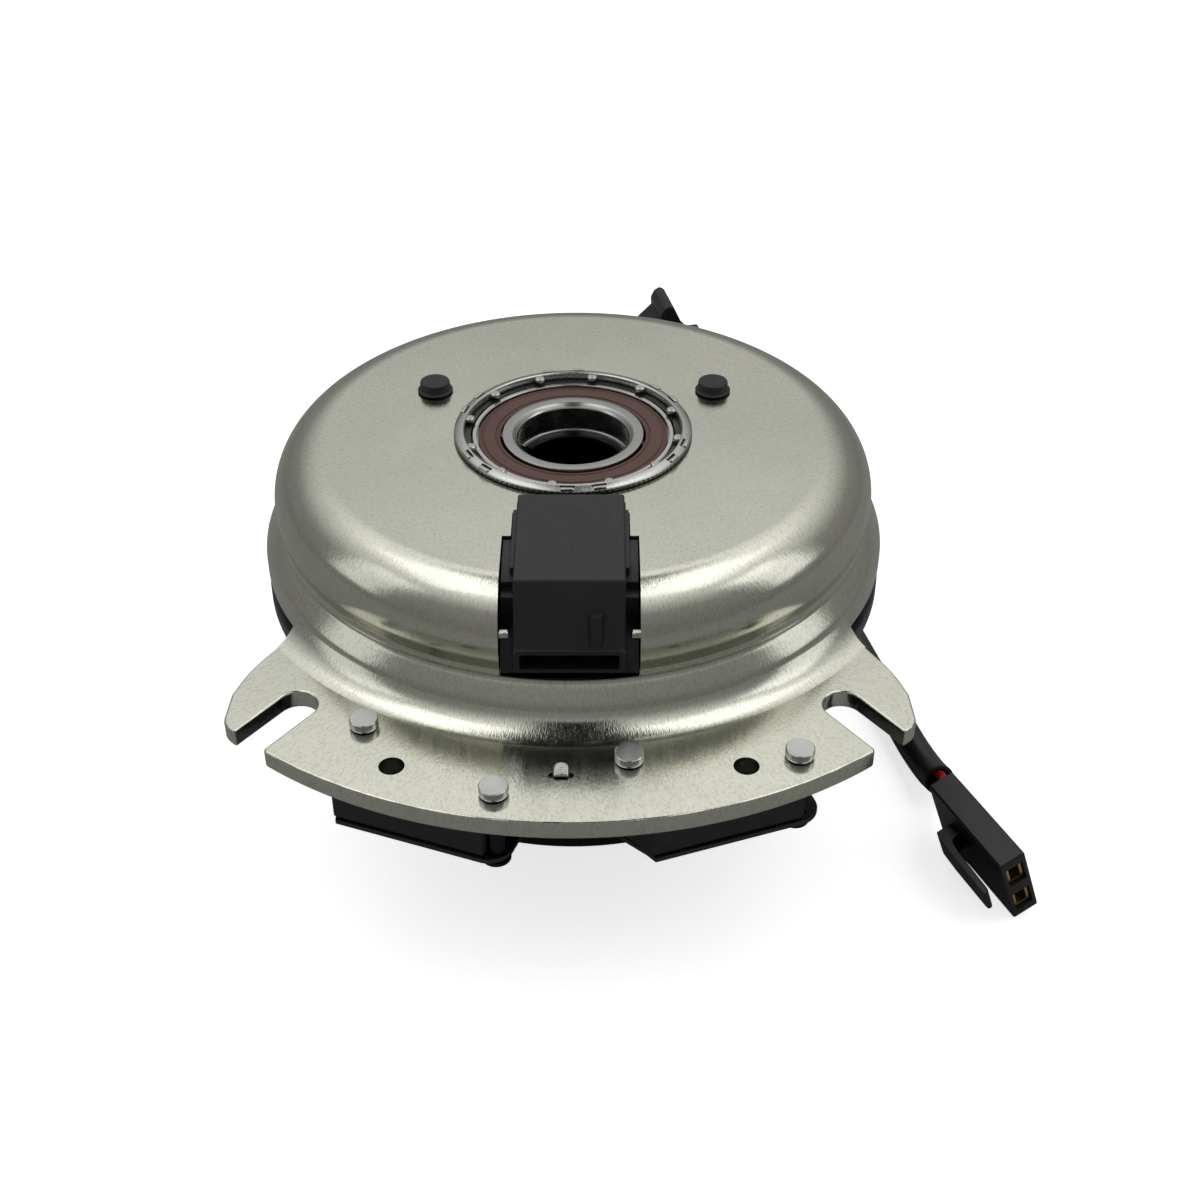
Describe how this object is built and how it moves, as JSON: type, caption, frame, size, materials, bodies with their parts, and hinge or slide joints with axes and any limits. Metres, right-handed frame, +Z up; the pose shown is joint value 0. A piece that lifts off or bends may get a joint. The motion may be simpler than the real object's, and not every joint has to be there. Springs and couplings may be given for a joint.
{
  "type": "electric pto clutch",
  "caption": "Electric power take-off clutch: domed coil housing with slotted flange and brake blocks over a grooved belt pulley, beside its unplugged lead.",
  "frame": {"origin": "on the crankshaft axis, in the plane of the pulley's lower rim, which the part stands on", "axes": "+Z up along the crankshaft axis from the pulley to the coil housing, -Y towards the connector and the slotted flange, +X to the right in the front view"},
  "size_m": [0.205, 0.3447, 0.0913],
  "materials": {
    "zinc_steel": "zinc plated, fine grained, satin",
    "bright_steel": "ground, bright",
    "dark_steel": "dark, oiled",
    "rivet_steel": "bright plated",
    "spring_steel": "blued, satin",
    "copper": "copper wire, varnished",
    "brass": "plain",
    "black_plastic": "fine grained, satin",
    "bobbin_plastic": "natural nylon",
    "black_paint": "black, half gloss",
    "black_rubber": "soft, matt",
    "brown_rubber": "red brown, matt",
    "friction": "rough lining",
    "red_wire": "red insulation"
  },
  "bodies": {
    "field": {"field_shell": "zinc_steel", "bearing_seat": "dark_steel", "lock_ring": "bright_steel", "field_bearing_outer_ring": "bright_steel", "field_bearing_top_seal": "brown_rubber", "field_bearing_bottom_seal": "brown_rubber", "field_bearing_balls": "bright_steel", "coil_bobbin": "bobbin_plastic", "coil_winding": "copper", "coil_lead_left": "copper", "coil_lead_right": "copper", "connector_housing": "black_plastic", "socket_terminal_left": "brass", "socket_terminal_right": "brass", "vent_plug_left": "black_rubber", "vent_plug_right": "black_rubber", "brake_box_left": "black_plastic", "brake_plate_left": "dark_steel", "brake_pad_left": "friction", "brake_box_right": "black_plastic", "brake_plate_right": "dark_steel", "brake_pad_right": "friction", "brake_rivet_1": "rivet_steel", "brake_rivet_2": "rivet_steel", "brake_rivet_3": "rivet_steel", "brake_rivet_4": "rivet_steel", "lead_sleeve": "black_rubber", "lead_wire_red": "red_wire", "lead_wire_black": "black_rubber", "lead_plug": "black_plastic", "lead_terminal_upper": "brass", "lead_terminal_lower": "brass", "lead_rear_plug": "black_plastic"},
    "rotor": {"hub": "bright_steel", "rotor_disc": "dark_steel", "field_bearing_inner_ring": "bright_steel", "pulley_bearing_inner_ring": "bright_steel", "hub_snap_ring": "spring_steel"},
    "pulley_wheel": {"pulley": "black_paint", "pulley_bearing_outer_ring": "bright_steel", "pulley_bearing_top_seal": "black_rubber", "pulley_bearing_bottom_seal": "black_rubber", "pulley_bearing_balls": "bright_steel", "pulley_snap_ring": "spring_steel", "pulley_rivet_1": "rivet_steel", "pulley_rivet_2": "rivet_steel", "pulley_rivet_3": "rivet_steel", "leaf_spring_1": "spring_steel", "leaf_spring_2": "spring_steel", "leaf_spring_3": "spring_steel"},
    "armature": {"armature_plate": "dark_steel", "armature_rivet_1": "rivet_steel", "armature_rivet_2": "rivet_steel", "armature_rivet_3": "rivet_steel"}
  },
  "joints": [
    {"name": "rotor_spin", "type": "hinge", "parent": "field", "child": "rotor", "pos_m": [0, 0, 0], "axis": [0, 0, 1], "continuous": true},
    {"name": "pulley_spin", "type": "hinge", "parent": "rotor", "child": "pulley_wheel", "pos_m": [0, 0, 0], "axis": [0, 0, 1], "continuous": true},
    {"name": "armature_engage", "type": "slide", "parent": "pulley_wheel", "child": "armature", "axis": [0, 0, 1], "range_m": [0, 0.0005], "stiffness_N_per_m": 20000, "springref_m": -0.001, "deforming": ["leaf_spring_1", "leaf_spring_2", "leaf_spring_3"]}
  ]
}
